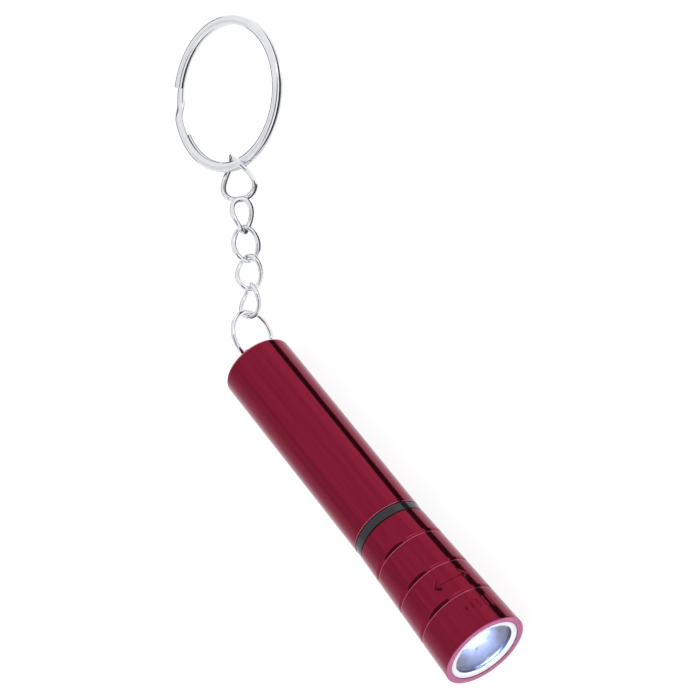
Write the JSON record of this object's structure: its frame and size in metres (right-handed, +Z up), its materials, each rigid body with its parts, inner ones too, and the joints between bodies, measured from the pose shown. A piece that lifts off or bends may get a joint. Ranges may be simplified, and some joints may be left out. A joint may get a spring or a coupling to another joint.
{
  "type": "keychain flashlight",
  "caption": "Slim anodised torch with a flared twist-on head, lit lamp in a bright cup, curb chain and split key ring.",
  "frame": {"origin": "under the middle of the whole object, on the table it lies on", "axes": "+Z up; the torch lies along +X with its head forward, leaning up 0.9 degrees because the head is wider than the tail; the chain and key ring lie behind the tail towards -X and +Y"},
  "size_m": [0.1112, 0.0452, 0.0133],
  "materials": {
    "red_anodised": "polished, dyed red",
    "black_anodised": "satin black",
    "black_plastic": "smooth",
    "rubber_seal": "matte",
    "nickel_steel": "bright nickel plate",
    "cell_steel": "satin",
    "white_plastic": "fine satin",
    "contact_brass": "bright",
    "board_green": "solder mask",
    "lamp_epoxy": "clear epoxy, lit",
    "mirror_cup": "vacuum metallised",
    "clear_lens": "clear acrylic"
  },
  "bodies": {
    "barrel": {"barrel": "red_anodised", "tail_plug": "red_anodised", "neck_insert": "black_anodised", "band_ring": "black_plastic", "neck_oring": "rubber_seal", "battery_sleeve": "white_plastic", "cell_1": "cell_steel", "cell_2": "cell_steel", "cell_3": "cell_steel", "cell_4": "cell_steel", "tail_spring": "nickel_steel"},
    "lamp_carrier": {"led_carrier": "white_plastic", "ground_ring": "contact_brass", "centre_contact": "contact_brass", "led_board": "board_green", "led_leads": "nickel_steel", "led_lamp": "lamp_epoxy"},
    "head": {"head_shell": "red_anodised", "reflector": "mirror_cup", "lens_gasket": "rubber_seal", "front_lens": "clear_lens", "bezel_ring": "white_plastic"},
    "eye_ring": {"eye_ring": "nickel_steel"},
    "chain_link_1": {"chain_link_1": "nickel_steel"},
    "chain_link_2": {"chain_link_2": "nickel_steel"},
    "chain_link_3": {"chain_link_3": "nickel_steel"},
    "chain_link_4": {"chain_link_4": "nickel_steel"},
    "jump_ring": {"jump_ring": "nickel_steel"},
    "split_ring": {"split_ring": "nickel_steel"}
  },
  "joints": [
    {"name": "carrier_slide", "type": "slide", "parent": "barrel", "child": "lamp_carrier", "axis": [0.9999, 0, 0.0153], "range_m": [0, 0.0045]},
    {"name": "head_twist", "type": "hinge", "parent": "lamp_carrier", "child": "head", "pos_m": [0.0318, -0.01593, 0.00628], "axis": [0.9999, 0, 0.0153], "range_deg": [0, 2160]},
    {"name": "eye_ring_swing", "type": "hinge", "parent": "barrel", "child": "eye_ring", "pos_m": [-0.0086, -0.01593, 0.00567], "axis": [0, 0, 1], "range_deg": [-50, 110]},
    {"name": "link_1_swing", "type": "hinge", "parent": "eye_ring", "child": "chain_link_1", "pos_m": [-0.01508, -0.01188, 0.00378], "axis": [-0.1327, 0.0829, 0.9877], "range_deg": [-45, 45]},
    {"name": "link_2_swing", "type": "hinge", "parent": "chain_link_1", "child": "chain_link_2", "pos_m": [-0.01875, -0.00927, 0.00259], "axis": [0.4112, 0.7717, 0.4851], "range_deg": [-45, 45]},
    {"name": "link_3_swing", "type": "hinge", "parent": "chain_link_2", "child": "chain_link_3", "pos_m": [-0.02241, -0.0065, 0.00202], "axis": [0.6092, 0.7883, -0.0863], "range_deg": [-45, 45]},
    {"name": "link_4_swing", "type": "hinge", "parent": "chain_link_3", "child": "chain_link_4", "pos_m": [-0.02594, -0.00352, 0.00239], "axis": [0.6032, 0.7487, -0.275], "range_deg": [-45, 45]},
    {"name": "jump_ring_swing", "type": "hinge", "parent": "chain_link_4", "child": "jump_ring", "pos_m": [-0.02939, -0.00047, 0.00211], "axis": [0.3677, 0.3442, -0.8639], "range_deg": [-15, 45]},
    {"name": "split_ring_turn", "type": "hinge", "parent": "jump_ring", "child": "split_ring", "pos_m": [-0.0431, 0.01007, 0.00134], "axis": [-0.0361, 0.0303, 0.9989], "continuous": true}
  ],
  "couplings": [
    {"joint": "head_twist", "follows": "carrier_slide", "rad_per_m": 8377.6}
  ]
}
